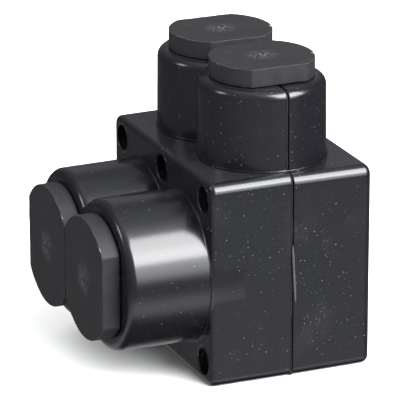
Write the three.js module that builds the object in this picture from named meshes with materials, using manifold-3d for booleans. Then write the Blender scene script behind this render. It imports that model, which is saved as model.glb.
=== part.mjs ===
// Insulated two-port cable connector: a black two-part housing around an aluminium terminal block.
// A cable enters each round port on the front, and a clamp screw reached through the port above it
// presses a pad onto the bare conductor. A rubber plug closes each of the four ports.
// Millimetres, +Z up, ports facing -Y, screws reached from +Z, right hand at +X.
import * as THREE from "three";
import { mergeVertices } from "three/addons/utils/BufferGeometryUtils.js";
import { RoundedBoxGeometry } from "three/addons/geometries/RoundedBoxGeometry.js";
import Module from "manifold-3d";

const wasm = await Module();
wasm.setup();

// ---- Driving dimensions ----
const BODY = { width: 61, depth: 40.8, height: 50, edge: 2 };
const WALL = { front: 2.8, floor: 3, side: 3.7, guide: 1.6 };
const PITCH = 24.3; // between the two ports of a row
const SEAM = 0.5; // gap between the half shells, filled by the gasket
const FIT = 0.3; // gap between pieces that rest on each other
const PAST = 1; // how far a cutter runs past the face it cuts

// Round collars that carry the ports: outer radius, length out of the body, rounding of the rim.
const CABLE_COLLAR = { radius: 18.25, length: 20.2, rim: 2 };
const SCREW_COLLAR = { radius: 15.4, length: 19.3, rim: 2.1 };
const CABLE_BORE = { mouth: 11.5, throat: 10, mouthDepth: 15.8 };
const SCREW_BORE = 9.2;

// Plugs: flange radius, distance from centre to each flat, stem, sealing ribs.
const FLANGE = { thickness: 4.5, lift: 0.25, edge: 0.35 };
const STEM_CORE = 1; // solid rubber between the flange and the hollow of the stem
const STEM_CHAMFER = 0.6;
const RIB = { places: [0.68, 0.32], foot: 0.8, crest: 0.2 }; // places along the stem, half-widths
const CABLE_PLUG = { radius: 14.85, flat: 12, stem: 10.5, length: 9, wall: 2.6, rib: 11.35 };
const SCREW_PLUG = { radius: 12.5, flat: 10.4, stem: 8.3, length: 8, wall: 2.2, rib: 9.05 };

// Terminal block: bored from the front for the conductors, tapped from above for the clamp screws.
const BLOCK = { width: 53, depth: 34.6, height: 30, edge: 0.8 };
const CONDUCTOR_BORE = { radius: 9, depth: 30.5, cone: 3.2, chamfer: 0.8 };
const TAPPED_BORE = { radius: 8.2, chamfer: 0.5 };

// Clamp screw with a hexagon socket, and the pad held in its foot.
const CLAMP_SCREW = { radius: 8, length: 16, chamfer: 0.9, socketFlats: 8, socketDepth: 7.5 };
const FOOT = { entry: 2.8, chamber: 3.9, lip: 1.2, height: 2.5 };
const PAD = { radius: 6.7, thickness: 2.9, chamfer: 0.5, neck: 2.4, button: 3.5, buttonHeight: 1.6 };

// Six tapping screws join the half shells, three above the block and three below it.
const SCREW_X = 25.1;
const SCREW_EDGE = 5; // from the top or bottom of the body to the screw's axis
const SHELL_SCREW = { head: 3, headHeight: 2.3, crown: 0.9, shank: 1.75, length: 25, tip: 1.6, point: 0.75 };
const CROSS = { length: 3.6, width: 0.9, depth: 1.5 }; // the recess for the screwdriver
const RECESS = { radius: 3.3, depth: 3.7 };
const POST = { half: 4.6, hole: 1.95, pilot: 1.85, pilotDepth: 13 };

// Cable seal: a rubber ring at the inner end of each cable port. Each inner lip has a [foot, crest,
// foot] along the ring's length.
const CABLE_SEAL = { outer: 11.3, lip: 8.4, body: 9.5, length: 5, lips: [[0, 1.2, 2.4], [2.8, 4, 5]] };

const ROUND = 40; // sides of a large circle
const SMALL_ROUND = 20;
const ARC_STEPS = 3; // facets of a rounded edge

// ---- Derived places ----
const FRONT = -BODY.depth / 2;
const BACK = BODY.depth / 2;
const TOP = BODY.height;
const PORT_Z = BODY.height / 2;
const BLOCK_TOP = PORT_Z + BLOCK.height / 2;
const BLOCK_BOTTOM = PORT_Z - BLOCK.height / 2;
const CABLE_MOUTH = FRONT - CABLE_COLLAR.length;
const SCREW_MOUTH = TOP + SCREW_COLLAR.length;
const FRONT_REACH = CABLE_MOUTH - FLANGE.lift - FLANGE.thickness;
const ORIGIN_SHIFT = -(FRONT_REACH + BACK) / 2; // brings the middle of the whole depth to y = 0
const ROOM = { x: BODY.width / 2 - WALL.side, low: BLOCK_BOTTOM - FIT, high: BLOCK_TOP + FIT };
const SIDES = [
  { name: "left", x: -PITCH / 2 },
  { name: "right", x: PITCH / 2 },
];
const SHELL_SCREWS = ["upper", "lower"].flatMap((row) =>
  ["left", "middle", "right"].map((column, i) => ({
    name: `shell_screw_${row}_${column}`,
    x: (i - 1) * SCREW_X,
    z: row === "upper" ? TOP - SCREW_EDGE : SCREW_EDGE,
  })),
);

// ---- From three.js geometry to solids and back ----
function solidOf(geometry) {
  const bare = geometry.index ? geometry.toNonIndexed() : geometry.clone();
  bare.deleteAttribute("normal");
  bare.deleteAttribute("uv");
  const merged = mergeVertices(bare, 1e-4);
  const corners = Array.from(merged.index.array);
  const kept = [];
  for (let i = 0; i < corners.length; i += 3) {
    const [a, b, c] = corners.slice(i, i + 3);
    if (a !== b && b !== c && c !== a) kept.push(a, b, c);
  }
  return new wasm.Manifold(
    new wasm.Mesh({
      numProp: 3,
      vertProperties: merged.attributes.position.array,
      triVerts: new Uint32Array(kept),
    }),
  );
}

function geometryOf(solid) {
  const mesh = solid.getMesh();
  const geometry = new THREE.BufferGeometry();
  geometry.setAttribute("position", new THREE.BufferAttribute(mesh.vertProperties, 3));
  geometry.setIndex(new THREE.BufferAttribute(mesh.triVerts, 1));
  const flat = geometry.toNonIndexed();
  flat.computeVertexNormals();
  return flat;
}

const joined = (solids) => solids.reduce((sum, solid) => sum.add(solid));

// ---- Basic shapes, as geometries ----
// A turned shape whose axis is +Z. The profile is a list of [radius, height], bottom to top.
function turned(profile, sides = ROUND) {
  const points = profile.map(([radius, height]) => new THREE.Vector2(radius, height));
  return new THREE.LatheGeometry(points, sides).rotateX(Math.PI / 2);
}

// Points of a quarter circle about [radius, height], from angle a to angle b in degrees.
function arc(radius, height, size, a, b) {
  return Array.from({ length: ARC_STEPS + 1 }, (_, i) => {
    const angle = THREE.MathUtils.degToRad(a + ((b - a) * i) / ARC_STEPS);
    return [radius + size * Math.cos(angle), height + size * Math.sin(angle)];
  });
}

// A plain cylinder along +Z from z = low to z = high, or along -Y from y = -low to y = -high.
function cylinder(radius, low, high, sides = ROUND) {
  return turned([[0, low], [radius, low], [radius, high], [0, high]], sides);
}

const towardsFront = (geometry) => geometry.rotateX(Math.PI / 2);

function box(width, depth, height, x, y, z) {
  return new THREE.BoxGeometry(width, depth, height).translate(x, y, z);
}

// ---- Housing ----
// The outer skin of both half shells together, or the same skin moved inwards by an inset.
function skin(inset = 0) {
  const body = new RoundedBoxGeometry(
    BODY.width - 2 * inset, BODY.depth - 2 * inset, BODY.height - 2 * inset, ARC_STEPS, BODY.edge - inset,
  ).translate(0, 0, BODY.height / 2);
  const collars = SIDES.flatMap(({ x }) => [
    collar(SCREW_COLLAR, inset).translate(x, 0, TOP),
    towardsFront(collar(CABLE_COLLAR, inset)).translate(x, FRONT, PORT_Z),
  ]);
  return joined([body, ...collars].map(solidOf));
}

// A collar standing on z = 0 with its foot buried in the body.
const BURIED = 5;

function collar({ radius, length, rim }, inset) {
  const outer = radius - inset;
  const end = length - inset;
  const bend = rim - inset;
  return turned([[0, -BURIED], [outer, -BURIED], ...arc(outer - bend, end - bend, bend, 0, 90), [0, end]]);
}

// The room around the terminal block, less the screw posts and the guides down to the clamp screws.
function cavity() {
  const room = solidOf(
    box(2 * ROOM.x, BODY.depth - 2 * WALL.front, BODY.height - 2 * WALL.floor, 0, 0, PORT_Z),
  );
  const height = ROOM.low - WALL.floor + PAST;
  const posts = SHELL_SCREWS.map(({ x, z }) => {
    const middle = z < PORT_Z ? ROOM.low - height / 2 : ROOM.high + height / 2;
    return solidOf(box(2 * POST.half, BODY.depth, height, x, 0, middle));
  });
  const guides = SIDES.map(({ x }) =>
    solidOf(cylinder(SCREW_BORE + WALL.guide, ROOM.high, TOP).translate(x, 0, 0)),
  );
  return room.subtract(joined([...posts, ...guides]));
}

// Every port and screw hole in the housing.
function holes() {
  const mouthEnd = CABLE_COLLAR.length - CABLE_BORE.mouthDepth;
  const mouth = towardsFront(cylinder(CABLE_BORE.mouth, mouthEnd, CABLE_COLLAR.length + PAST));
  const throat = towardsFront(cylinder(CABLE_BORE.throat, -WALL.front - PAST, mouthEnd + PAST));
  const ports = SIDES.flatMap(({ x }) => [
    cylinder(SCREW_BORE, BLOCK_TOP, SCREW_MOUTH + PAST).translate(x, 0, 0),
    mouth.clone().translate(x, FRONT, PORT_Z),
    throat.clone().translate(x, FRONT, PORT_Z),
  ]);
  const screws = SHELL_SCREWS.flatMap(({ x, z }) => [
    towardsFront(cylinder(RECESS.radius, -RECESS.depth, PAST, SMALL_ROUND)).translate(x, FRONT, z),
    towardsFront(cylinder(POST.hole, 0, -FRONT, SMALL_ROUND)).translate(x, 0, z),
    towardsFront(cylinder(POST.pilot, -POST.pilotDepth, 0, SMALL_ROUND)).translate(x, 0, z),
  ]);
  return joined([...ports, ...screws].map(solidOf));
}

// All of space on one side of the seam, for splitting the housing there. FAR is past everything.
const FAR = 200;
const beyondSeam = (side) => solidOf(box(2 * FAR, FAR, 2 * FAR, 0, side * (FAR + SEAM) / 2, 0));

const housing = skin().subtract(cavity()).subtract(holes());
const frontShell = housing.intersect(beyondSeam(-1));
const rearShell = housing.intersect(beyondSeam(1));

// ---- Gaskets ----
// Flat sheets that cover the joint face of the shells: one round the outside, and a strip between
// the two screw ports. Outlines are [x, z], and run up the right-hand half of the sheet.
const GASKET = { thickness: SEAM - 0.1, setBack: 0.4, clearance: 0.2 };
const GASKET_BORE = PITCH / 2 + SCREW_BORE + GASKET.clearance;
const GASKET_WEB = PITCH / 2 - SCREW_BORE - GASKET.clearance;

function edgeGasketHalf() {
  const { setBack } = GASKET;
  const side = BODY.width / 2 - setBack;
  const collarSide = PITCH / 2 + SCREW_COLLAR.radius - setBack;
  const bend = BODY.edge - setBack;
  const rim = SCREW_COLLAR.rim - setBack;
  const rimTop = SCREW_MOUTH - setBack;
  return [
    [0, setBack],
    ...arc(side - bend, setBack + bend, bend, -90, 0),
    ...arc(side - bend, TOP - setBack - bend, bend, 0, 90),
    [collarSide, TOP - setBack],
    ...arc(collarSide - rim, rimTop - rim, rim, 0, 90),
    [GASKET_BORE, rimTop],
    [GASKET_BORE, ROOM.high],
    [ROOM.x, ROOM.high],
    [ROOM.x, ROOM.low],
    [SCREW_X - POST.half, ROOM.low],
    [SCREW_X - POST.half, WALL.floor],
    [POST.half, WALL.floor],
    [POST.half, ROOM.low],
    [0, ROOM.low],
  ];
}

const webGasketHalf = () => [
  [0, ROOM.high],
  [GASKET_WEB, ROOM.high],
  [GASKET_WEB, SCREW_MOUTH - GASKET.setBack],
  [0, SCREW_MOUTH - GASKET.setBack],
];

// A sheet in the seam, mirrored from its right-hand half, with a hole for each screw it holds.
function gasket(half, screws) {
  const mirrored = half.map(([x, z]) => [-x, z]).reverse();
  const outline = [...half, ...mirrored.filter(([x]) => x !== 0)];
  const sheet = new THREE.Shape(outline.map(([x, z]) => new THREE.Vector2(x, z)));
  for (const { x, z } of screws) {
    const hole = new THREE.Path();
    hole.absarc(x, z, POST.hole + GASKET.clearance, 0, 2 * Math.PI);
    sheet.holes.push(hole);
  }
  return new THREE.ExtrudeGeometry(sheet, {
    depth: GASKET.thickness, bevelEnabled: false, curveSegments: SMALL_ROUND / 2,
  }).rotateX(Math.PI / 2).translate(0, GASKET.thickness / 2, 0);
}

// ---- Plugs and seals ----
// A plug stands with its flange's underside on z = 0 and its hollow, ribbed stem below. Two sides
// of the round flange are cut flat, so that neighbours clear each other.
function plug({ radius, flat, stem, length, wall, rib }) {
  const { thickness, edge } = FLANGE;
  const ribs = RIB.places.flatMap((share) => {
    const middle = -length * share;
    return [
      [stem, middle - RIB.foot], [rib, middle - RIB.crest],
      [rib, middle + RIB.crest], [stem, middle + RIB.foot],
    ];
  });
  const round = turned([
    [0, -STEM_CORE], [stem - wall, -STEM_CORE], [stem - wall, -length], [stem - STEM_CHAMFER, -length],
    ...ribs, [stem, 0], [radius - edge, 0], [radius, edge], [radius, thickness - edge],
    [radius - edge, thickness], [0, thickness],
  ]);
  return geometryOf(solidOf(round).intersect(solidOf(box(2 * flat, FAR, FAR, 0, 0, 0))));
}

// A ring with two lips, its back at z = 0 and its open side up.
function cableSeal() {
  const { outer, lip, body, length, lips } = CABLE_SEAL;
  const inside = lips.flatMap(([low, crest, high]) => [[body, low], [lip, crest], [body, high]]);
  return turned([[outer, 0], [outer, length], ...inside.reverse(), [outer, 0]]);
}

// ---- Terminal block and clamping parts ----
function terminalBlock() {
  const blank = solidOf(
    new RoundedBoxGeometry(BLOCK.width, BLOCK.depth, BLOCK.height, 1, BLOCK.edge).translate(0, 0, PORT_Z),
  );
  const { radius, depth, cone, chamfer } = CONDUCTOR_BORE;
  const bore = towardsFront(turned([
    [0, -depth - cone], [radius, -depth], [radius, -chamfer], [radius + chamfer + PAST, PAST], [0, PAST],
  ]));
  const tapped = turned([
    [0, PORT_Z], [TAPPED_BORE.radius, PORT_Z], [TAPPED_BORE.radius, BLOCK_TOP - TAPPED_BORE.chamfer],
    [TAPPED_BORE.radius + TAPPED_BORE.chamfer + PAST, BLOCK_TOP + PAST], [0, BLOCK_TOP + PAST],
  ]);
  const cuts = SIDES.flatMap(({ x }) => [
    bore.clone().translate(x, -BLOCK.depth / 2, PORT_Z),
    tapped.clone().translate(x, 0, 0),
  ]);
  return geometryOf(blank.subtract(joined(cuts.map(solidOf))));
}

// The clamp screw stands on z = 0, which is the face of its foot.
function clampScrew() {
  const { radius, length, chamfer, socketFlats, socketDepth } = CLAMP_SCREW;
  const ceiling = FOOT.lip + FOOT.height;
  const blank = turned([
    [0, ceiling], [FOOT.chamber, ceiling], [FOOT.chamber, FOOT.lip], [FOOT.entry, FOOT.lip], [FOOT.entry, 0],
    [radius - chamfer, 0], [radius, chamfer], [radius, length - chamfer], [radius - chamfer, length],
    [0, length],
  ]);
  const socketRadius = socketFlats / 2 / Math.cos(Math.PI / 6);
  const socket = cylinder(socketRadius, length - socketDepth, length + PAST, 6);
  return geometryOf(solidOf(blank).subtract(solidOf(socket)));
}

// The pad's upper face lies at z = -FIT, with its neck and button up in the foot of the screw.
function pressurePad() {
  const { radius, thickness, chamfer, neck, button, buttonHeight } = PAD;
  const low = -FIT - thickness;
  const buttonLow = FOOT.lip + FIT;
  return turned([
    [0, low], [radius - chamfer, low], [radius, low + chamfer], [radius, -FIT - chamfer],
    [radius - chamfer, -FIT], [neck, -FIT], [neck, buttonLow], [button, buttonLow],
    [button, buttonLow + buttonHeight], [0, buttonLow + buttonHeight],
  ]);
}

// A tapping screw with its head's seat on z = 0, its head above and its tip below.
function shellScrew() {
  const { head, headHeight, crown, shank, length, tip, point } = SHELL_SCREW;
  const blank = turned([
    [0, -length], [point, -length], [shank, -length + tip], [shank, 0], [head, 0],
    [head, headHeight - crown], [head - crown, headHeight], [0, headHeight],
  ], SMALL_ROUND);
  const slots = [0, Math.PI / 2].map((angle) =>
    solidOf(box(CROSS.length, CROSS.width, 2 * CROSS.depth, 0, 0, headHeight).rotateZ(angle)),
  );
  return geometryOf(solidOf(blank).subtract(joined(slots)));
}

// ---- Finishes ----
const finish = (color, roughness, metalness) =>
  new THREE.MeshStandardMaterial({ color, roughness, metalness });
const HOUSING_BLACK = finish(0x101114, 0.32, 0);
const PLUG_RUBBER = finish(0x1d1d20, 0.75, 0);
const GASKET_RUBBER = finish(0x1f1f20, 0.8, 0);
const PLATED_ALUMINIUM = finish(0xc3c5c7, 0.35, 1);
const ZINC_STEEL = finish(0xa9acb0, 0.3, 1);
const PAD_BRASS = finish(0xb9975a, 0.35, 1);
const BLACK_STEEL = finish(0x2a2a2c, 0.45, 1);

// ---- The assembly ----
const connector = new THREE.Group();
connector.position.y = ORIGIN_SHIFT;

function place(name, geometry, material, x = 0, y = 0, z = 0, parent = connector) {
  const mesh = new THREE.Mesh(geometry, material);
  mesh.name = name;
  mesh.position.set(x, y, z);
  parent.add(mesh);
  return mesh;
}

place("front_shell", geometryOf(frontShell), HOUSING_BLACK);
place("rear_shell", geometryOf(rearShell), HOUSING_BLACK);
const isWebScrew = ({ name }) => name === "shell_screw_upper_middle";
const edgeScrews = SHELL_SCREWS.filter((screw) => !isWebScrew(screw));
place("edge_gasket", gasket(edgeGasketHalf(), edgeScrews), GASKET_RUBBER);
place("web_gasket", gasket(webGasketHalf(), SHELL_SCREWS.filter(isWebScrew)), GASKET_RUBBER);
place("terminal_block", terminalBlock(), PLATED_ALUMINIUM);

// Pieces on the cable ports' axes are made upright and laid over towards -Y.
const cablePlug = towardsFront(plug(CABLE_PLUG));
const screwPlug = plug(SCREW_PLUG);
const seal = towardsFront(cableSeal());
const screw = clampScrew();
const pad = pressurePad();
const SEAL_SEAT = CABLE_MOUTH + CABLE_BORE.mouthDepth - FIT;
const SCREW_FOOT = PORT_Z + CONDUCTOR_BORE.radius + PAD.thickness + 2 * FIT; // clamp fully open

for (const { name, x } of SIDES) {
  place(`cable_plug_${name}`, cablePlug, PLUG_RUBBER, x, CABLE_MOUTH - FLANGE.lift, PORT_Z);
  place(`screw_plug_${name}`, screwPlug, PLUG_RUBBER, x, 0, SCREW_MOUTH + FLANGE.lift);
  place(`cable_seal_${name}`, seal, PLUG_RUBBER, x, SEAL_SEAT, PORT_Z);
  place(`clamp_screw_${name}`, screw, ZINC_STEEL, x, 0, SCREW_FOOT);
  place(`pressure_pad_${name}`, pad, PAD_BRASS, x, 0, SCREW_FOOT);
}

const tappingScrew = towardsFront(shellScrew());
const HEAD_SEAT = FRONT + RECESS.depth - FIT / 3;
for (const { name, x, z } of SHELL_SCREWS) place(name, tappingScrew, BLACK_STEEL, x, HEAD_SEAT, z);

export default connector;
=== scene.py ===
import math

import bpy
import numpy as np
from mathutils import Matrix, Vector


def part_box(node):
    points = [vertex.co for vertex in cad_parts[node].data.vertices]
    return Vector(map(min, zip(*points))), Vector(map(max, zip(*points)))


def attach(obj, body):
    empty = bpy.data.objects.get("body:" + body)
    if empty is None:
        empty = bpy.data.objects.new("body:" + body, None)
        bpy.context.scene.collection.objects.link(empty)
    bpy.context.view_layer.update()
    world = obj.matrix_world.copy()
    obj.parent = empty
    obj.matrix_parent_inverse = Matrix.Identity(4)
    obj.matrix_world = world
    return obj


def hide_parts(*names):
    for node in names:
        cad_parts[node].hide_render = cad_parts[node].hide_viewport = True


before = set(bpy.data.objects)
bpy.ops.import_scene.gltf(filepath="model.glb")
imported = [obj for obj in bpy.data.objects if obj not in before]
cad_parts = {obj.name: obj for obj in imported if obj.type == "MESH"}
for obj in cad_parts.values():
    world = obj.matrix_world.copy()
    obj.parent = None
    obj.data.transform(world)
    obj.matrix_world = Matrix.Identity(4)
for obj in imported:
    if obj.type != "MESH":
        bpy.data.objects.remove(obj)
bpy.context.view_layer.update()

MM = 0.001


# ---- Places and sizes, taken from the model ----
def size_of(node):
    low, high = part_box(node)
    return (high - low) / MM


def middle_of(node):
    low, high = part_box(node)
    return (high + low) / 2 / MM


front_low, front_high = (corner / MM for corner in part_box("front_shell"))
rear_low, rear_high = (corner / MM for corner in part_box("rear_shell"))
SEAM_Y = (front_high.y + rear_low.y) / 2
SEAM_GAP = rear_low.y - front_high.y
HALF_WIDTH = rear_high.x
HALF_DEPTH = rear_high.y - SEAM_Y
PORT_Z = middle_of("cable_plug_right").z
BODY_TOP = 2 * PORT_Z
PITCH_HALF = middle_of("cable_plug_right").x
CABLE_MOUTH = front_low.y - SEAM_Y
SCREW_MOUTH = front_high.z
SIDES = {"left": -PITCH_HALF, "right": PITCH_HALF}

# ---- Finer sizes of the housing, in millimetres ----
TOP_EDGE, BASE_EDGE = 2.6, 1.9  # rounding of the body's long edges, from front to rear
FRONT_EDGE, REAR_EDGE = 1.2, 1.7  # rounding round the front face and round the rear face
DRAFT = 0.01  # taper of the mould, millimetres in each millimetre from the seam
CABLE_COLLAR, CABLE_RIM = 18.2, 2.0
SCREW_COLLAR, SCREW_RIM = 15.35, 2.1
COLLAR_FOOT = 0.32  # fillet where a collar leaves the body
COLLAR_VALLEY = 0.35  # fillet where two collars meet
CABLE_ROOT, SCREW_ROOT = 8, 12  # how far the collars reach into the body
MOUTH_EDGE = 0.5
CABLE_BORE, CABLE_THROAT, CABLE_STEP = 11.5, 10.0, 15.8
THROAT_END = 2  # the throat ends this far inside the room for the block
SCREW_BORE, SCREW_BORE_FOOT = 9.2, 10  # the foot is above the middle of the cable ports
HEAD_HEIGHT = 2.3
RECESS, RECESS_LIP = 3.3, 0.45
RECESS_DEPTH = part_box("shell_screw_upper_left")[0].y / MM - (SEAM_Y - HALF_DEPTH) + HEAD_HEIGHT + 0.1
SHANK_HOLE, SHANK_HOLE_END = 1.95, 13
SEAM_LIP = 0.3
REAR_STEP = 0.28  # the rear half sits this much lower at the top
REAR_COLLAR_STEP, REAR_MOUTH_STEP = 0.08, 0.12  # the same for its halves of the screw collars
ROOM_X = size_of("terminal_block").x / 2 + 0.3
ROOM_Y = size_of("terminal_block").y / 2 + 0.3
ROOM_HALF, ROOM_MARGIN, ROOM_EDGE = 15.3, 3, 0.4
ROOM_LOW, ROOM_HIGH = PORT_Z - ROOM_HALF, PORT_Z + ROOM_HALF
POST = 4.6  # half the width of the plastic round a tapping screw
GUIDE_WALL = 1.6  # wall of the tube that guides a clamp screw
FAR = 1e3  # a distance beyond everything
LIP_LOW, LIP_HIGH = 18.3, 32.8  # the stretch of seam where the gasket is squeezed out
LIP_STANDS = 0.14  # how far it stands out of the side
LIP_DRIFT = 0.8  # how far its lower end lies behind the seam


# ---- Solids as distances: negative inside, positive outside ----
def joined(a, b, fillet=0.0):
    if not fillet:
        return np.minimum(a, b)
    inner = np.hypot(np.maximum(fillet - a, 0), np.maximum(fillet - b, 0))
    return np.maximum(fillet, np.minimum(a, b)) - inner


def common(a, b, edge=0.0):
    return -joined(-a, -b, edge)


def cut(a, b, edge=0.0):
    return common(a, -b, edge)


def box(x, y, z, low, high, edge=0.0):
    sides = [
        np.abs(v - (lo + hi) / 2) - ((hi - lo) / 2 - edge) for v, lo, hi in zip((x, y, z), low, high)
    ]
    outside = np.sqrt(sum(np.maximum(side, 0) ** 2 for side in sides))
    return outside + np.minimum(np.maximum(np.maximum(*sides[:2]), sides[2]), 0) - edge


def slab(v, low, high):
    return np.maximum(low - v, v - high)


def capsule(u, v, start, end, radius):
    """A thick line in a plane, with round ends."""
    du, dv = end[0] - start[0], end[1] - start[1]
    along = np.clip(((u - start[0]) * du + (v - start[1]) * dv) / (du * du + dv * dv), 0, 1)
    return np.hypot(u - start[0] - along * du, v - start[1] - along * dv) - radius


# ---- From distances to meshes ----
def ladder(start, *rungs):
    """Grid levels from start up to each (stop, step) in turn."""
    levels = [start]
    for stop, step in rungs:
        count = max(1, round((stop - levels[-1]) / step))
        levels.extend(np.linspace(levels[-1], stop, count + 1)[1:])
    return np.array(levels)


def slope(solid, points, reach=0.01):
    """The direction in which the distance grows, and the distance, at each point."""
    parts = []
    for axis in range(3):
        step = np.zeros(3)
        step[axis] = reach
        parts.append((solid(*(points + step).T) - solid(*(points - step).T)) / (2 * reach))
    return np.stack(parts, axis=1), solid(*points.T)


def skin_of(solid, levels):
    """The surface of a solid: one corner in each grid cell it crosses, moved onto the true surface."""
    grid = np.meshgrid(*levels, indexing="ij")
    distance = solid(*grid)
    inside = distance < 0
    cells = tuple(len(level) - 1 for level in levels)
    total, count = np.zeros((*cells, 3)), np.zeros(cells)
    loops = []
    for axis in range(3):
        near = [slice(None)] * 3
        far = [slice(None)] * 3
        near[axis], far[axis] = slice(None, -1), slice(1, None)
        start = np.argwhere(inside[tuple(near)] != inside[tuple(far)])
        end = start.copy()
        end[:, axis] += 1
        d0, d1 = distance[tuple(start.T)], distance[tuple(end.T)]
        share = (d0 / (d0 - d1))[:, None]
        p0 = np.stack([levels[k][start[:, k]] for k in range(3)], axis=1)
        p1 = np.stack([levels[k][end[:, k]] for k in range(3)], axis=1)
        crossing = p0 + share * (p1 - p0)
        ring = []
        for du, dv in ((0, 0), (-1, 0), (-1, -1), (0, -1)):
            cell = start.copy()
            cell[:, (axis + 1) % 3] += du
            cell[:, (axis + 2) % 3] += dv
            np.add.at(total, tuple(cell.T), crossing)
            np.add.at(count, tuple(cell.T), 1)
            ring.append(np.ravel_multi_index(tuple(cell.T), cells))
        ring = np.stack(ring, axis=1)
        leaving = inside[tuple(start.T)]
        loops.append(np.where(leaving[:, None], ring, ring[:, ::-1]))
    used = np.flatnonzero(count)
    points = total.reshape(-1, 3)[used] / count.ravel()[used][:, None]
    number = np.full(count.size, -1)
    number[used] = np.arange(len(used))
    faces = number[np.concatenate(loops)]
    for _ in range(3):
        direction, gap = slope(solid, points)
        steep = np.maximum((direction**2).sum(axis=1), 0.2)
        points -= direction * np.clip(gap / steep, -0.3, 0.3)[:, None]
    direction, _ = slope(solid, points)
    length = np.maximum(np.linalg.norm(direction, axis=1), 1e-6)
    return points, faces, direction / length[:, None]


def mesh_of(name, solid, levels):
    points, faces, normals = skin_of(solid, levels)
    mesh = bpy.data.meshes.new(name)
    mesh.vertices.add(len(points))
    mesh.vertices.foreach_set("co", (points * MM).astype(np.float32).ravel())
    mesh.loops.add(faces.size)
    mesh.loops.foreach_set("vertex_index", faces.astype(np.int32).ravel())
    mesh.polygons.add(len(faces))
    mesh.polygons.foreach_set("loop_start", np.arange(0, faces.size, 4, dtype=np.int32))
    mesh.update(calc_edges=True)
    mesh.validate()
    mesh.polygons.foreach_set("use_smooth", np.ones(len(mesh.polygons), bool))
    mesh.normals_split_custom_set_from_vertices([tuple(n) for n in normals])
    return mesh


def add_piece(name, mesh, material, at=(0.0, 0.0, 0.0)):
    """A new object with the mesh. at is in millimetres about the seam."""
    if not mesh.materials:
        mesh.materials.append(material)
    piece = bpy.data.objects.new(name, mesh)
    piece.location = (at[0] * MM, (at[1] + SEAM_Y) * MM, at[2] * MM)
    bpy.context.scene.collection.objects.link(piece)
    return piece


def place(node, mesh, material, body, at=(0.0, 0.0, 0.0)):
    """Shows the mesh in place of the model's node."""
    piece = add_piece(node + "_skin", mesh, material, at)
    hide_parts(node)
    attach(piece, body)


# ---- Housing ----
def outer_form(x, y, z):
    """The outside of both half shells together."""
    away = np.abs(y)
    rear = np.clip(y / 0.4, 0, 1)
    half_height = PORT_Z - DRAFT / 2 * away - REAR_STEP * rear / 2
    edge = np.where(z > half_height, TOP_EDGE, BASE_EDGE)
    across = np.abs(x) - (HALF_WIDTH - LIP_STANDS - DRAFT * away - edge)
    upright = np.abs(z - half_height) - (half_height - edge)
    beyond = np.hypot(np.maximum(across, 0), np.maximum(upright, 0))
    profile = beyond + np.minimum(np.maximum(across, upright), 0) - edge
    body = common(profile, -HALF_DEPTH - y, FRONT_EDGE)
    body = common(body, y - HALF_DEPTH, REAR_EDGE)
    screw_collars = joined(*(screw_collar(x - at, y, z) for at in SIDES.values()), COLLAR_VALLEY)
    cable_collars = joined(*(cable_collar(x - at, y, z) for at in SIDES.values()), COLLAR_VALLEY)
    return joined(joined(body, screw_collars, COLLAR_FOOT), cable_collars, COLLAR_FOOT)


def screw_collar(x, y, z):
    rear = np.clip(y / 0.3, 0, 1)
    wall = np.hypot(x, y) - (SCREW_COLLAR - DRAFT * np.maximum(z - BODY_TOP, 0) - REAR_COLLAR_STEP * rear)
    tube = common(wall, z - (SCREW_MOUTH - REAR_MOUTH_STEP * rear), SCREW_RIM)
    return np.maximum(tube, BODY_TOP - SCREW_ROOT - z)


def cable_collar(x, y, z):
    wall = np.hypot(x, z - PORT_Z) - (CABLE_COLLAR - DRAFT * np.maximum(-HALF_DEPTH - y, 0))
    tube = common(wall, CABLE_MOUTH - y, CABLE_RIM)
    return np.maximum(tube, y + HALF_DEPTH - CABLE_ROOT)


def screw_places():
    """The [x, z] of each tapping screw that joins the half shells."""
    places = {}
    for row in ("upper", "lower"):
        for column in ("left", "middle", "right"):
            name = f"shell_screw_{row}_{column}"
            middle = middle_of(name)
            places[name] = (middle.x, middle.z)
    return places


SHELL_SCREWS = screw_places()


def inner_room(x, y, z):
    room = box(x, y, z, (-ROOM_X, -ROOM_Y, ROOM_MARGIN), (ROOM_X, ROOM_Y, BODY_TOP - ROOM_MARGIN))
    for at_x, at_z in SHELL_SCREWS.values():
        side = z - PORT_Z if at_z > PORT_Z else PORT_Z - z
        post = np.maximum(np.abs(x - at_x) - POST, ROOM_HALF - side)
        room = cut(room, post, ROOM_EDGE)
    for at_x in SIDES.values():
        guide = np.maximum(np.hypot(x - at_x, y) - SCREW_BORE - GUIDE_WALL, ROOM_HIGH - z)
        room = cut(room, guide, ROOM_EDGE)
    return room


def port_holes(x, y, z):
    hole = np.full_like(x, FAR)
    for at_x in SIDES.values():
        screw_bore = np.maximum(np.hypot(x - at_x, y) - SCREW_BORE, PORT_Z + SCREW_BORE_FOOT - z)
        across = np.hypot(x - at_x, z - PORT_Z)
        mouth = np.maximum(across - CABLE_BORE, y - CABLE_MOUTH - CABLE_STEP)
        throat = np.maximum(across - CABLE_THROAT, y + ROOM_Y - THROAT_END)
        hole = joined(hole, joined(joined(mouth, throat), screw_bore))
    return hole


def screw_holes(x, y, z):
    hole = np.full_like(x, FAR)
    for at_x, at_z in SHELL_SCREWS.values():
        across = np.hypot(x - at_x, z - at_z)
        hole = joined(hole, np.maximum(across - RECESS, y + HALF_DEPTH - RECESS_DEPTH))
        hole = joined(hole, np.maximum(across - SHANK_HOLE, y - SHANK_HOLE_END))
    return hole


def housing(x, y, z):
    shell = cut(outer_form(x, y, z), inner_room(x, y, z))
    return cut(cut(shell, port_holes(x, y, z), MOUTH_EDGE), screw_holes(x, y, z), RECESS_LIP)


def front_half(x, y, z):
    return common(housing(x, y, z), y + SEAM_GAP / 2, SEAM_LIP)


def rear_half(x, y, z):
    return common(housing(x, y, z), SEAM_GAP / 2 - y, SEAM_LIP)


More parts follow.
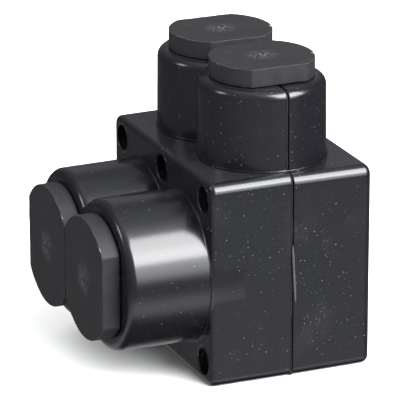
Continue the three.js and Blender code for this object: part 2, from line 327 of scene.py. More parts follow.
def housing_levels(y_levels):
    across = ladder(-HALF_WIDTH - 1, (-28.5, 0.5), (28.5, 0.6), (HALF_WIDTH + 1, 0.5))
    upright = ladder(
        -1,
        (3, 0.5),
        (BODY_TOP - 3, 0.6),
        (BODY_TOP + 1.2, 0.3),
        (SCREW_MOUTH - 4, 1.8),
        (SCREW_MOUTH + 0.6, 0.3),
    )
    return across, y_levels, upright


def make_shells(plastic):
    front_levels = ladder(
        CABLE_MOUTH - 0.8,
        (CABLE_MOUTH + 3.6, 0.3),
        (-HALF_DEPTH - 1.6, 1.8),
        (-HALF_DEPTH + 1.6, 0.25),
        (-1.2, 0.6),
        (0.6, 0.1),
    )
    rear_levels = ladder(-0.6, (1.2, 0.1), (HALF_DEPTH - 3, 0.6), (HALF_DEPTH + 0.8, 0.5))
    halves = {"front_shell": (front_half, front_levels), "rear_shell": (rear_half, rear_levels)}
    for node, (solid, y_levels) in halves.items():
        mesh = mesh_of(node, solid, housing_levels(y_levels))
        place(node, mesh, plastic, "housing")


def smooth_mesh(name, points, faces):
    mesh = bpy.data.meshes.new(name)
    mesh.from_pydata([tuple(MM * v for v in point) for point in points], [], faces)
    mesh.polygons.foreach_set("use_smooth", np.ones(len(mesh.polygons), bool))
    return mesh


def add_to_housing(name, mesh, material, at=(0.0, 0.0, 0.0)):
    """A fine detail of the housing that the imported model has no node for."""
    piece = add_piece(name, mesh, material, at)
    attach(piece, "housing")


FLASH, FLASH_LUMP = 0.13, 0.04  # half its thickness, and how much that changes
FLASH_OFFSET = 0.14  # from the corner to its middle
FLASH_TURNS, FLASH_SIDES = 220, 6
FLASH_START, FLASH_SWEEP = -0.75, 1.5  # in half turns


def flash_line(name, radius, body_at, wobble):
    """A fine ridge of moulding flash round the foot of a collar, thicker here and there.

    body_at turns [across, up] about the collar's axis, and the distance out of the body, into a place."""
    points = []
    for turn in range(FLASH_TURNS + 1):
        angle = math.pi * (turn / FLASH_TURNS * FLASH_SWEEP + FLASH_START)
        lumps = math.sin(7 * angle + wobble) * math.sin(23 * angle) + math.sin(61 * angle) ** 8
        thickness = FLASH + FLASH_LUMP * lumps
        for side in range(FLASH_SIDES):
            bend = 2 * math.pi * side / FLASH_SIDES
            reach = radius + FLASH_OFFSET + thickness * math.cos(bend)
            across, up = reach * math.cos(angle), reach * math.sin(angle)
            points.append(body_at(across, up, FLASH_OFFSET + thickness * math.sin(bend)))
    faces = []
    for turn in range(FLASH_TURNS):
        for side in range(FLASH_SIDES):
            here, beside = turn * FLASH_SIDES + side, turn * FLASH_SIDES + (side + 1) % FLASH_SIDES
            faces.append((here, here + FLASH_SIDES, beside + FLASH_SIDES, beside))
    last = FLASH_TURNS * FLASH_SIDES
    faces.append(tuple(range(FLASH_SIDES)))
    faces.append(tuple(reversed(range(last, last + FLASH_SIDES))))
    return smooth_mesh(name, points, faces)


def make_flash_lines(plastic):
    """The flash starts and ends in the valley between two collars, out of sight inside the other."""
    room = HALF_WIDTH - PITCH_HALF - 0.01
    for side, at_x in SIDES.items():
        out = math.copysign(1, at_x)

        def round_screw_collar(across, up, away):
            return out * across, up, away

        def round_cable_collar(across, up, away):
            return out * min(across, room), -away, up

        screw_foot = flash_line("screw_foot", SCREW_COLLAR, round_screw_collar, out)
        cable_foot = flash_line("cable_foot", CABLE_COLLAR, round_cable_collar, out + 1)
        cable_at, screw_at = (at_x, -HALF_DEPTH, PORT_Z), (at_x, 0, BODY_TOP)
        add_to_housing(f"cable_collar_flash_{side}", cable_foot, plastic, cable_at)
        add_to_housing(f"screw_collar_flash_{side}", screw_foot, plastic, screw_at)


RIM_THICKNESS, RIM_DEPTH, RIM_OFFSET = 0.3, 0.2, 0.14
RIM_TURNS, RIM_SIDES = 96, 12


def recess_rim():
    """The rolled lip of a screw recess. The origin is at the face and the axis is Y."""
    points, faces = [], []
    for turn in range(RIM_TURNS):
        angle = 2 * math.pi * turn / RIM_TURNS
        for side in range(RIM_SIDES):
            bend = 2 * math.pi * side / RIM_SIDES
            reach = RECESS + RIM_OFFSET + RIM_THICKNESS * math.cos(bend)
            depth = RIM_DEPTH + RIM_THICKNESS * math.sin(bend)
            points.append((reach * math.cos(angle), depth, reach * math.sin(angle)))
            here, beside = turn * RIM_SIDES + side, turn * RIM_SIDES + (side + 1) % RIM_SIDES
            after, opposite = [(turn + 1) % RIM_TURNS * RIM_SIDES + at % RIM_SIDES for at in (here, beside)]
            faces.append((here, after, opposite, beside))
    return smooth_mesh("recess_rim", points, faces)


def make_recess_rims(plastic):
    rim = recess_rim()
    for node, (at_x, at_z) in SHELL_SCREWS.items():
        name = node.replace("shell_screw", "recess_rim")
        add_to_housing(name, rim, plastic, (at_x, -HALF_DEPTH, at_z))


# ---- Gaskets ----
SET_BACK, GASKET_WAVE = 0.5, 0.05  # how far the sheet ends inside the housing, and how unevenly
BEAD = 0.66
SHANK_PASSAGE = 2.15


def gasket_sheet(x, y, z):
    """The rubber sheet in the seam, with an uneven outer edge and a bead at the base."""
    wave = GASKET_WAVE * np.sin(0.9 * z + 0.3 * x) + GASKET_WAVE * np.sin(0.37 * z - 0.5 * x)
    outline = outer_form(x, np.zeros_like(y), z) + SET_BACK + wave
    sheet = common(outline, np.abs(y) - SEAM_GAP / 2 + 0.04, 0.1)
    sheet = cut(sheet, inner_room(x, np.zeros_like(y), z))
    sheet = cut(sheet, port_holes(x, np.zeros_like(y), z) - 0.2)
    bead = np.sqrt((x - HALF_WIDTH + 1.1) ** 2 + (y * 1.1) ** 2 + (z - 0.7) ** 2) - BEAD
    sheet = joined(sheet, bead)
    for at_x, at_z in SHELL_SCREWS.values():
        sheet = cut(sheet, np.hypot(x - at_x, z - at_z) - SHANK_PASSAGE)
    return sheet


def squeezed_lip(x, y, z):
    """Rubber squeezed out of the seam on the right-hand side."""
    share = np.clip((z - LIP_LOW) / (LIP_HIGH - LIP_LOW), 0, 1)
    drift = LIP_DRIFT - LIP_DRIFT * share
    ragged = 0.045 * np.sin(5.1 * z) + 0.035 * np.sin(8.3 * z + 1)
    width = (0.3 + ragged) * np.sqrt(np.maximum(1 - (2 * share - 1) ** 6, 0.02))
    lip = np.hypot((y - drift) / width, (x - HALF_WIDTH + 0.23) / 0.21) - 1
    return np.maximum(lip * 0.2, slab(z, LIP_LOW, LIP_HIGH))


def make_gaskets(rubber, torn_rubber):
    between_ports = (-6, -2, ROOM_HIGH - 0.5), (6, 2, 80)

    def edge_part(x, y, z):
        return np.maximum(gasket_sheet(x, y, z), -box(x, y, z, *between_ports))

    def web_part(x, y, z):
        return np.maximum(gasket_sheet(x, y, z), box(x, y, z, *between_ports))

    thickness = ladder(-1, (-0.5, 0.25), (0.5, 0.1), (1, 0.25))
    across = ladder(-HALF_WIDTH - 0.6, (HALF_WIDTH - 2.4, 0.5), (HALF_WIDTH + 0.6, 0.25))
    upright = ladder(-0.6, (3, 0.25), (BODY_TOP - 3, 0.7), (BODY_TOP + 1, 0.4), (SCREW_MOUTH + 0.6, 0.6))
    edge = mesh_of("edge_gasket", edge_part, (across, thickness, upright))
    place("edge_gasket", edge, rubber, "housing")
    web_levels = (ladder(-4, (4, 0.3)), thickness, ladder(ROOM_HIGH - 1, (SCREW_MOUTH + 1, 0.4)))
    place("web_gasket", mesh_of("web_gasket", web_part, web_levels), rubber, "housing")

    lip_levels = (
        ladder(HALF_WIDTH - 2, (HALF_WIDTH + 0.3, 0.08)),
        ladder(-1, (1.5, 0.09)),
        ladder(LIP_LOW - 0.5, (LIP_HIGH + 0.5, 0.14)),
    )
    lip = mesh_of("gasket_lip", squeezed_lip, lip_levels)
    add_to_housing("gasket_lip", lip, torn_rubber)


# ---- Plugs and seals ----
FLANGE = 4.5  # thickness of a plug's flange
GATE_RING = 0.62  # radius of the ring left by the moulding gate
# Radius and length of each stem, thickness of its wall, and radius over its ribs.
STEMS = {"cable_plug": (10.5, 9, 2.6, 11.35), "screw_plug": (8.3, 8, 2.2, 9.05)}


def plug_solid(radius, flat, stem, length, wall, rib):
    """A plug standing on the underside of its flange, with its hollow, ribbed stem below."""
    def solid(x, y, z):
        r = np.hypot(x, y)
        swell = 0.05 * np.sin(0.42 * x + 1) * np.sin(0.37 * y) + 0.03 * np.sin(1.3 * y + 0.6 * z)
        outline = common(r - radius + 0.05, np.abs(x) - flat + 0.05 - swell, 0.2)
        flange = common(outline, slab(z, 0, FLANGE - 0.16) - 0.4 * swell, 0.17)
        ribs = sum(np.exp(-(((z + length * share) / 0.75) ** 2)) for share in (0.32, 0.68))
        stopper = common(r - (stem + (rib - stem) * ribs), slab(z, -length, 1), 0.5)
        plug = cut(joined(flange, stopper, 0.3), np.maximum(r - (stem - wall), z + 1), 0.3)
        gate = np.hypot(r - GATE_RING, z - FLANGE + 0.16) - 0.13
        dimple = np.hypot(r, (z - FLANGE - 0.02) * 1.3) - 0.42
        return cut(joined(plug, gate, 0.05), dimple, 0.03)

    return solid


def plug_levels(radius, flat, length):
    """Levels across, along and up a plug, close together where its edges and gate mark are."""
    corner = math.sqrt(radius**2 - flat**2)
    across = ladder(
        -flat - 0.6, (-flat + 0.6, 0.12), (-1.1, 0.45), (1.1, 0.1), (flat - 0.6, 0.45), (flat + 0.6, 0.12)
    )
    half = ladder(0, (1.1, 0.1), (corner - 0.6, 0.45), (corner + 0.6, 0.12), (radius + 0.6, 0.4))
    along = np.concatenate([-half[:0:-1], half])
    upright = ladder(-length - 0.6, (-0.5, 0.4), (0.6, 0.1), (FLANGE - 0.6, 0.6), (FLANGE + 0.3, 0.07))
    return across, along, upright


def make_plugs(rubber):
    for kind, (stem, length, wall, rib) in STEMS.items():
        size = size_of(f"{kind}_right") / 2
        lying = kind == "cable_plug"
        radius = size.z if lying else size.y
        upright_solid = plug_solid(radius, size.x, stem, length, wall, rib)
        across, along, upright = plug_levels(radius, size.x, length)

        def lying_solid(x, y, z):
            return upright_solid(x, z, -y)

        if lying:
            mesh = mesh_of(kind, lying_solid, (across, -upright[::-1], along))
        else:
            mesh = mesh_of(kind, upright_solid, (across, along, upright))
        for side, at_x in SIDES.items():
            low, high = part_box(f"{kind}_{side}")
            seat = (low.y / MM - SEAM_Y + FLANGE, PORT_Z) if lying else (0, high.z / MM - FLANGE)
            place(f"{kind}_{side}", mesh, rubber, f"{kind}_{side}", (at_x, *seat))


SEAL_INSIDE, SEAL_OUTSIDE, SEAL_LENGTH = 9.5, 11.3, 5
SEAL_LIPS, SEAL_GROOVES = (-1.2, -4.0), (-1.6, -3.4)


def seal_solid(x, y, z):
    """A ring about the Y axis, with its back at y = 0 and two soft inner lips."""
    r = np.hypot(x, z)
    ring = common(slab(r, SEAL_INSIDE, SEAL_OUTSIDE), slab(y, -SEAL_LENGTH, 0), 0.35)
    for lip_y in SEAL_LIPS:
        lip = capsule(r, y, (SEAL_INSIDE + 0.2, lip_y - 0.7), (SEAL_INSIDE - 0.8, lip_y), 0.32)
        ring = joined(ring, lip, 0.5)
    for groove_y in SEAL_GROOVES:
        ring = cut(ring, np.hypot(r - SEAL_OUTSIDE - 0.2, y - groove_y) - 0.45, 0.1)
    return ring


def make_seals(rubber):
    levels = (ladder(-12, (12, 0.45)), ladder(-5.5, (0.5, 0.22)), ladder(-12, (12, 0.45)))
    mesh = mesh_of("cable_seal", seal_solid, levels)
    for side, at_x in SIDES.items():
        node = f"cable_seal_{side}"
        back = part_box(node)[1].y / MM - SEAM_Y
        place(node, mesh, rubber, "housing", (at_x, back, PORT_Z))


# ---- Terminal block and clamping parts ----
THREAD_PITCH, THREAD_DEPTH, THREAD_RADIUS = 1.5, 0.85, 8.0
BLOCK_BORE, BLOCK_BORE_DEPTH, BORE_MOUTH = 9, 30.5, 9.9
TAPPED_RADIUS, TAPPED_DEPTH = 8.95, 0.75
SOCKET_HALF, SOCKET_DEPTH, SOCKET_ENTRY = 4, 7.5, 4.75  # hexagon across flats, halved
PAD_RADIUS, PAD_THICKNESS, NECK_RADIUS, BUTTON_RADIUS = 6.7, 2.9, 2.4, 3.5


def thread_wave(x, y, z, pitch):
    """From 0 at the root to 1 at the crest of a right-hand thread."""
    turn = z / pitch - np.arctan2(y, x) / (2 * math.pi)
    ridge = 1 - np.abs(2 * (turn - np.floor(turn)) - 1)
    return np.clip(1.25 * ridge - 0.12, 0, 1)


def block_solid(x, y, z):
    size = size_of("terminal_block") / 2
    face = -size.y
    block = box(x, y, z, (-size.x, -size.y, PORT_Z - size.z), (size.x, size.y, PORT_Z + size.z), 0.7)
    for at_x in SIDES.values():
        across = np.hypot(x - at_x, z - PORT_Z)
        deep = y - face
        bore = np.maximum(across - BLOCK_BORE, deep - BLOCK_BORE_DEPTH)
        point = np.maximum(across + (deep - BLOCK_BORE_DEPTH) * 2.8 - BLOCK_BORE, BLOCK_BORE_DEPTH - deep)
        mouth = np.maximum(across - BORE_MOUTH + deep, deep - 3)
        block = cut(block, joined(joined(bore, point * 0.35), mouth * 0.7), 0.15)
        r = np.hypot(x - at_x, y)
        wave = thread_wave(x - at_x, y, z, THREAD_PITCH)
        tapped = (r - TAPPED_RADIUS + TAPPED_DEPTH * wave) * 0.75
        flare = (r - 9.0 - (z - PORT_Z - size.z)) * 0.7
        block = cut(block, np.maximum(joined(tapped, flare), PORT_Z - z))
    return block


def clamp_screw_solid(x, y, z):
    """The clamp screw standing on its foot: right-hand thread, hexagon socket, hollow foot."""
    length = size_of("clamp_screw_right").z
    r = np.hypot(x, y)
    wave = thread_wave(x, y, z, THREAD_PITCH)
    body = (r - THREAD_RADIUS + THREAD_DEPTH * (1 - wave)) * 0.75
    ends = np.maximum(r - 7.1 - z, r - 7.1 - (length - z)) * 0.7
    screw = common(np.maximum(body, ends), slab(z, 0, length), 0.12)
    slanted = np.maximum(np.abs(0.5 * x + 0.866 * y), np.abs(0.5 * x - 0.866 * y))
    hexagon = np.maximum(np.abs(x), slanted) - SOCKET_HALF
    bottom = length - SOCKET_DEPTH + 0.35 * r - 1.3
    socket = np.maximum(hexagon, (bottom - z) * 0.9)
    entry = (r - SOCKET_ENTRY - (z - length + 0.3)) * 0.7
    screw = cut(screw, joined(socket, np.maximum(entry, length - 3 - z)), 0.1)
    foot = joined(np.maximum(r - 2.8, z - 1.5), np.maximum(r - 3.9, slab(z, 1.2, 3.7)))
    return cut(screw, foot, 0.1)


def pad_solid(x, y, z):
    """The pad under the clamp screw: a chamfered disc with a ridged face, a neck and a button."""
    r = np.hypot(x, y)
    ridges = 0.18 * np.abs(((x / 1.2) % 1) - 0.5) * 2
    disc = common(r - PAD_RADIUS, slab(z, ridges, PAD_THICKNESS), 0.35)
    neck = np.maximum(r - NECK_RADIUS, slab(z, 2, 5))
    button = common(r - BUTTON_RADIUS, slab(z, 4.7, 6.3), 0.3)
    return joined(joined(disc, neck, 0.25), button, 0.1)


def make_block(metal):
    size = size_of("terminal_block") / 2
    across = ladder(-size.x - 0.6, (size.x + 0.6, 0.55))
    along = ladder(-size.y - 0.6, (-size.y + 2, 0.3), (size.y + 0.6, 0.6))
    low, high = PORT_Z - size.z, PORT_Z + size.z
    upright = ladder(low - 0.6, (PORT_Z - 1, 0.7), (high + 0.5, 0.25))
    mesh = mesh_of("terminal_block", block_solid, (across, along, upright))
    place("terminal_block", mesh, metal, "housing")


def make_clamps(steel, brass):
    length = size_of("clamp_screw_right").z
    across = ladder(-8.6, (8.6, 0.33))
    screw_upright = ladder(-0.5, (length + 0.5, 0.25))
    screw = mesh_of("clamp_screw", clamp_screw_solid, (across, across, screw_upright))
    pad_across = ladder(-7.3, (7.3, 0.3))
    pad = mesh_of("pressure_pad", pad_solid, (pad_across, pad_across, ladder(-0.4, (6.8, 0.2))))
    for side, at_x in SIDES.items():
        screw_node, pad_node = f"clamp_screw_{side}", f"pressure_pad_{side}"
        screw_foot, pad_foot = (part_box(node)[0].z / MM for node in (screw_node, pad_node))
        place(screw_node, screw, steel, screw_node, (at_x, 0, screw_foot))
        place(pad_node, pad, brass, pad_node, (at_x, 0, pad_foot))


# ---- Tapping screws of the housing ----
HEAD_RADIUS = 2.97
SHANK_RADIUS, SHANK_END, CREST, TAPPING_PITCH = 1.25, 24.6, 0.48, 1.35
CROSS_HALF_WIDTH, CROSS_HALF_LENGTH, CROSS_MIDDLE = 0.42, 1.85, 0.85


def tapping_screw_solid(x, y, z):
    """A pan-head tapping screw with a cross recess. Its seat is y = 0 and its tip is at +Y."""
    r = np.hypot(x, z)
    dome = np.sqrt(x**2 + z**2 + ((y + 0.1) * 1.45) ** 2) - 3.2
    head = common(np.maximum(dome * 0.8, r - HEAD_RADIUS), slab(y, -HEAD_HEIGHT + 0.05, 0), 0.2)
    shank = common(r - SHANK_RADIUS, slab(y, -1, SHANK_END), 0.3)
    wave = thread_wave(x, -z, y, TAPPING_PITCH)
    crest = np.clip((24.8 - y) / 3.2, 0, 1)
    ridge = (r - SHANK_RADIUS - CREST * crest * wave**1.5) * 0.6
    thread = np.maximum(ridge, slab(y, 0.8, SHANK_END - 0.4))
    upright_arm = common(np.abs(x) - CROSS_HALF_WIDTH, np.abs(z) - CROSS_HALF_LENGTH)
    level_arm = common(np.abs(z) - CROSS_HALF_WIDTH, np.abs(x) - CROSS_HALF_LENGTH)
    arms = np.minimum(upright_arm, level_arm)
    recess = np.maximum(joined(arms, r - CROSS_MIDDLE, 0.25) + (y + 2.25) * 0.28, y + 0.6)
    return cut(joined(joined(head, shank), thread), recess, 0.08)


def make_tapping_screws(steel):
    across = ladder(-3.7, (3.7, 0.2))
    along = ladder(-2.7, (0.4, 0.13), (25.2, 0.24))
    mesh = mesh_of("shell_screw", tapping_screw_solid, (across, along, across))
    for node, (at_x, at_z) in SHELL_SCREWS.items():
        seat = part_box(node)[0].y / MM - SEAM_Y + HEAD_HEIGHT
        place(node, mesh, steel, "housing", (at_x, seat, at_z))


# ---- Shader nodes ----
class Nodes:
    """Adds nodes to a tree. An input given as a socket is linked, and anything else is set."""

    def __init__(self, tree):
        self.tree = tree

    def add(self, kind, inputs=None, **settings):
        node = self.tree.nodes.new(kind)
        for name, value in settings.items():
            setattr(node, name, value)
        for name, value in (inputs or {}).items():
            self.feed(node.inputs[name], value)
        return node

    def feed(self, socket, value):
        if isinstance(value, bpy.types.NodeSocket):
            self.tree.links.new(value, socket)
        else:
            socket.default_value = value

    def math(self, operation, a, b=0.0, clamp=False):
        node = self.add("ShaderNodeMath", {0: a, 1: b}, operation=operation, use_clamp=clamp)
        return node.outputs[0]

    def range(self, value, low, high, to_low=0.0, to_high=1.0, smooth=False):
        kind = "SMOOTHSTEP" if smooth else "LINEAR"
        settings = {"Value": value, "From Min": low, "From Max": high, "To Min": to_low, "To Max": to_high}
        return self.add("ShaderNodeMapRange", settings, interpolation_type=kind).outputs["Result"]

    def mix(self, share, a, b):
        """A blend of two colours, from a at a share of 0 to b at 1."""
        node = self.add("ShaderNodeMix", data_type="RGBA")
        for socket, value in zip((node.inputs[0], node.inputs[6], node.inputs[7]), (share, a, b)):
            self.feed(socket, value)
        return node.outputs[2]

    def noise(self, where, scale, detail=2.0, roughness=0.5):
        inputs = {"Vector": where, "Scale": scale, "Detail": detail, "Roughness": roughness}
        return self.add("ShaderNodeTexNoise", inputs).outputs["Fac"]


def new_group(name, inputs, outputs):
    """An empty shader group. inputs are {name: (kind, value)}, outputs are {name: kind}."""
    tree = bpy.data.node_groups.new(name, "ShaderNodeTree")
    for label, (kind, value) in inputs.items():
        socket = tree.interface.new_socket(label, in_out="INPUT", socket_type="NodeSocket" + kind)
        if value is not None:
            socket.default_value = value
    for label, kind in outputs.items():
        tree.interface.new_socket(label, in_out="OUTPUT", socket_type="NodeSocket" + kind)
    nodes = Nodes(tree)
    return nodes, nodes.add("NodeGroupInput").outputs, nodes.add("NodeGroupOutput").inputs


def dust_group():
    """Small pale specks of dust, each cell of a pattern holding one or none."""
    inputs = {
        "Where": ("Vector", None),
        "Cells": ("Float", 0.8),
        "Share": ("Float", 0.2),
        "Size": ("Float", 0.16),
    }
    nodes, given, out = new_group("dust", inputs, {"Mask": "Float"})
    cell = nodes.add("ShaderNodeTexVoronoi", {"Vector": given["Where"], "Scale": given["Cells"]})
    pick = nodes.add("ShaderNodeSeparateColor", {"Color": cell.outputs["Color"]})
    chosen = nodes.math("LESS_THAN", pick.outputs["Red"], given["Share"])
    reach = nodes.math("MULTIPLY", given["Size"], nodes.range(pick.outputs["Green"], 0, 1, 0.35, 1.0))
    near = nodes.math("SUBTRACT", 1.0, nodes.math("DIVIDE", cell.outputs["Distance"], reach), clamp=True)
    speck = nodes.range(near, 0.0, 0.5)
    nodes.feed(out["Mask"], nodes.math("MULTIPLY", speck, chosen))
    return nodes.tree


def smear_group():
    """Faint wiped patches: broad clouds broken up by finer streaks along one direction."""
    nodes, given, out = new_group(
        "smears",
        {"Where": ("Vector", None), "Broad": ("Float", 0.05), "Fine": ("Float", 0.9)},
        {"Patch": "Float", "Streak": "Float"},
    )
    cloud = nodes.noise(given["Where"], given["Broad"], 3, 0.55)
    stretched = nodes.add("ShaderNodeMapping", {"Vector": given["Where"], "Scale": (1.0, 0.35, 0.22)})
    streak = nodes.noise(stretched.outputs["Vector"], given["Fine"], 4, 0.6)
    patch = nodes.range(cloud, 0.52, 0.72, smooth=True)
    nodes.feed(out["Patch"], patch)
    nodes.feed(out["Streak"], nodes.range(streak, 0.35, 0.75))
    return nodes.tree


def grain_group():
    """The fine pitted surface of moulded rubber or matt plastic, and the pale specks on it."""
    nodes, given, out = new_group(
        "moulded_grain",
        {"Where": ("Vector", None), "Fine": ("Float", 5.0), "Coarse": ("Float", 0.5)},
        {"Height": "Float", "Speck": "Float", "Cloud": "Float"},
    )
    pits = nodes.noise(given["Where"], given["Fine"], 3, 0.65)
    swell = nodes.noise(given["Where"], given["Coarse"], 2, 0.5)
    height = nodes.math("ADD", nodes.math("MULTIPLY", pits, 0.6), nodes.math("MULTIPLY", swell, 0.4))
    nodes.feed(out["Height"], height)
    nodes.feed(out["Speck"], nodes.range(pits, 0.58, 0.75))
    nodes.feed(out["Cloud"], swell)
    return nodes.tree


def rub_group():
    """Where corners stand out: rubbed corners, which on the plugs also carry a painted highlight along the
    edge burrs.
    """
    inputs = {"Low": ("Float", 0.52), "High": ("Float", 0.6)}
    nodes, given, out = new_group("rubbed_and_highlit_corners", inputs, {"Mask": "Float"})
    corner = nodes.add("ShaderNodeNewGeometry").outputs["Pointiness"]
    nodes.feed(out["Mask"], nodes.range(corner, given["Low"], given["High"]))
    return nodes.tree


def tooling_group():
    """Fine rings left by turning about the Z axis, with a little unevenness."""
    inputs = {"Where": ("Vector", None), "Rings": ("Float", 4.0)}
    nodes, given, out = new_group("tooling_rings", inputs, {"Height": "Float", "Tone": "Float"})
    pattern = {"Vector": given["Where"], "Scale": given["Rings"], "Distortion": 0.6}
    rings = nodes.add("ShaderNodeTexWave", pattern, wave_type="RINGS", rings_direction="Z")
    tone = nodes.noise(given["Where"], 0.7, 4, 0.6)
    nodes.feed(out["Height"], rings.outputs["Fac"])
    nodes.feed(out["Tone"], tone)
    return nodes.tree


GROUPS = {
    "dust": dust_group(),
    "smears": smear_group(),
    "grain": grain_group(),
    "rub_and_edge_highlight": rub_group(),
    "tooling": tooling_group(),
}


def new_material(name, metallic=0.0, **fixed):
    """A material, its nodes, its shader, and the place on the surface in millimetres."""
    material = bpy.data.materials.new(name)
    material.use_nodes = True
    nodes = Nodes(material.node_tree)
    shader = material.node_tree.nodes["Principled BSDF"]
    shader.inputs["Metallic"].default_value = metallic
    for label, value in fixed.items():
        shader.inputs[label].default_value = value
    surface = nodes.add("ShaderNodeTexCoord").outputs["Object"]
    in_mm = nodes.add("ShaderNodeMapping", {"Vector": surface, "Scale": (1000.0, 1000.0, 1000.0)})
    return material, nodes, shader, in_mm.outputs["Vector"]


def use(nodes, group, **inputs):
    """Places a shader group in a material, with the material's own values."""
    node = nodes.add("ShaderNodeGroup", node_tree=GROUPS[group])
    for label, value in inputs.items():
        nodes.feed(node.inputs[label], value)
    return node.outputs


def bump(nodes, shader, height, strength, distance):
    inputs = {"Height": height, "Strength": strength, "Distance": distance * MM}
    nodes.feed(shader.inputs["Normal"], nodes.add("ShaderNodeBump", inputs).outputs["Normal"])


def glossy_black_plastic():
    material, nodes, shader, where = new_material("glossy_black_plastic", **{"IOR": 1.5})
    dust = use(nodes, "dust", Where=where, Cells=0.9, Share=0.85, Size=0.105)["Mask"]
    fine_dust = use(nodes, "dust", Where=where, Cells=1.7, Share=0.65, Size=0.145)["Mask"]
    smears = use(nodes, "smears", Where=where, Broad=0.07, Fine=0.8)
    film = nodes.math("MULTIPLY", nodes.math("MULTIPLY", smears["Patch"], smears["Streak"]), 0.6)
    specks = nodes.math("MULTIPLY", fine_dust, nodes.range(smears["Patch"], 0, 1, 0.2, 0.8))
    all_dust = nodes.math("MAXIMUM", dust, specks)
    facing = nodes.add("ShaderNodeSeparateXYZ", {0: nodes.add("ShaderNodeNewGeometry").outputs["Normal"]})
    settled = nodes.range(facing.outputs["Z"], 0.985, 1.0, 0.0, 0.3)
    haze = nodes.math("ADD", nodes.math("MULTIPLY", film, 0.35), settled, clamp=True)
    tone = nodes.mix(haze, (0.0046, 0.0048, 0.0064, 1), (0.03, 0.03, 0.034, 1))
    nodes.feed(shader.inputs["Base Color"], nodes.mix(all_dust, tone, (0.26, 0.26, 0.28, 1)))
    sheen = nodes.math("ADD", 0.2, nodes.math("MULTIPLY", film, 0.16))
    dust_roughness = nodes.math("MULTIPLY", all_dust, 0.6)
    nodes.feed(shader.inputs["Roughness"], nodes.math("ADD", sheen, dust_roughness, clamp=True))
    grain = use(nodes, "grain", Where=where, Fine=2.2, Coarse=0.16)
    height = nodes.math("ADD", grain["Height"], nodes.math("MULTIPLY", all_dust, 1.5))
    bump(nodes, shader, height, 0.25, 0.03)
    return material


def matt_plug_rubber():
    fixed = {"IOR": 1.5, "Specular IOR Level": 0.35}
    material, nodes, shader, where = new_material("matt_plug_rubber", **fixed)
    grain = use(nodes, "grain", Where=where, Fine=4.5, Coarse=0.25)
    dust = use(nodes, "dust", Where=where, Cells=0.9, Share=0.3, Size=0.11)["Mask"]
    rub_and_edge_highlight = use(nodes, "rub_and_edge_highlight", Low=0.53, High=0.62)["Mask"]
    broken = nodes.range(nodes.noise(where, 0.8, 3, 0.6), 0.42, 0.62)
    from_gate = nodes.add("ShaderNodeVectorMath", {0: where}, operation="LENGTH").outputs["Value"]
    near_gate = nodes.range(from_gate, 4.6, 6.2, 1.0, 0.0)
    scuffs = nodes.math("MULTIPLY", near_gate, nodes.range(nodes.noise(where, 3.4, 2, 0.6), 0.6, 0.68))
    tone = nodes.mix(grain["Cloud"], (0.0062, 0.0062, 0.0072, 1), (0.0135, 0.0132, 0.0145, 1))
    speckled = nodes.mix(nodes.math("MULTIPLY", grain["Speck"], 0.4), tone, (0.06, 0.06, 0.063, 1))
    # Pale corners in broken pieces: partly rubbed wear, partly a painted highlight along the edge burrs.
    rubbed_and_highlit = nodes.mix(nodes.math("MULTIPLY", rub_and_edge_highlight, broken), speckled, (0.34, 0.34, 0.345, 1))
    scuffed = nodes.mix(nodes.math("MULTIPLY", scuffs, 0.8), rubbed_and_highlit, (0.3, 0.3, 0.305, 1))
    nodes.feed(shader.inputs["Base Color"], nodes.mix(dust, scuffed, (0.25, 0.25, 0.26, 1)))
    nodes.feed(shader.inputs["Roughness"], nodes.range(grain["Speck"], 0, 1, 0.62, 0.8))
    bump(nodes, shader, nodes.math("ADD", grain["Height"], dust), 0.5, 0.07)
    return material


def soft_seal_rubber():
    material, nodes, shader, where = new_material("soft_seal_rubber", **{"IOR": 1.5})
    grain = use(nodes, "grain", Where=where, Fine=3.0, Coarse=0.4)
    tone = nodes.mix(grain["Cloud"], (0.014, 0.014, 0.015, 1), (0.028, 0.028, 0.03, 1))
    nodes.feed(shader.inputs["Base Color"], tone)
    nodes.feed(shader.inputs["Roughness"], nodes.range(grain["Cloud"], 0.2, 0.8, 0.38, 0.55))
    bump(nodes, shader, grain["Height"], 0.3, 0.04)
    return material


def grey_gasket_rubber(name, dark, light):
    material, nodes, shader, where = new_material(name, **{"IOR": 1.5, "Specular IOR Level": 0.3})
    grain = use(nodes, "grain", Where=where, Fine=6.0, Coarse=0.6)
    worn = nodes.math("ADD", nodes.math("MULTIPLY", grain["Cloud"], 0.5), grain["Speck"], clamp=True)
    tone = nodes.mix(worn, (dark, dark, dark, 1), (light, light, light, 1))
    nodes.feed(shader.inputs["Base Color"], tone)
    nodes.feed(shader.inputs["Roughness"], nodes.range(grain["Cloud"], 0.2, 0.8, 0.7, 0.9))
    bump(nodes, shader, grain["Height"], 0.6, 0.1)
    return material


def turned_metal(name, dark, light, rough_low, rough_high, rings):
    material, nodes, shader, where = new_material(name, metallic=1.0)
    tooling = use(nodes, "tooling", Where=where, Rings=rings)
    rub_and_edge_highlight = use(nodes, "rub_and_edge_highlight", Low=0.51, High=0.6)["Mask"]
    tone = nodes.mix(nodes.range(tooling["Tone"], 0.3, 0.7), dark, light)
    bright = tuple(min(1.0, 1.25 * c) for c in light[:3]) + (1,)
    polished = nodes.math("MULTIPLY", rub_and_edge_highlight, 0.7)
    nodes.feed(shader.inputs["Base Color"], nodes.mix(polished, tone, bright))
    nodes.feed(shader.inputs["Roughness"], nodes.range(tooling["Tone"], 0.3, 0.7, rough_low, rough_high))
    bump(nodes, shader, tooling["Height"], 0.2, 0.03)
    return material


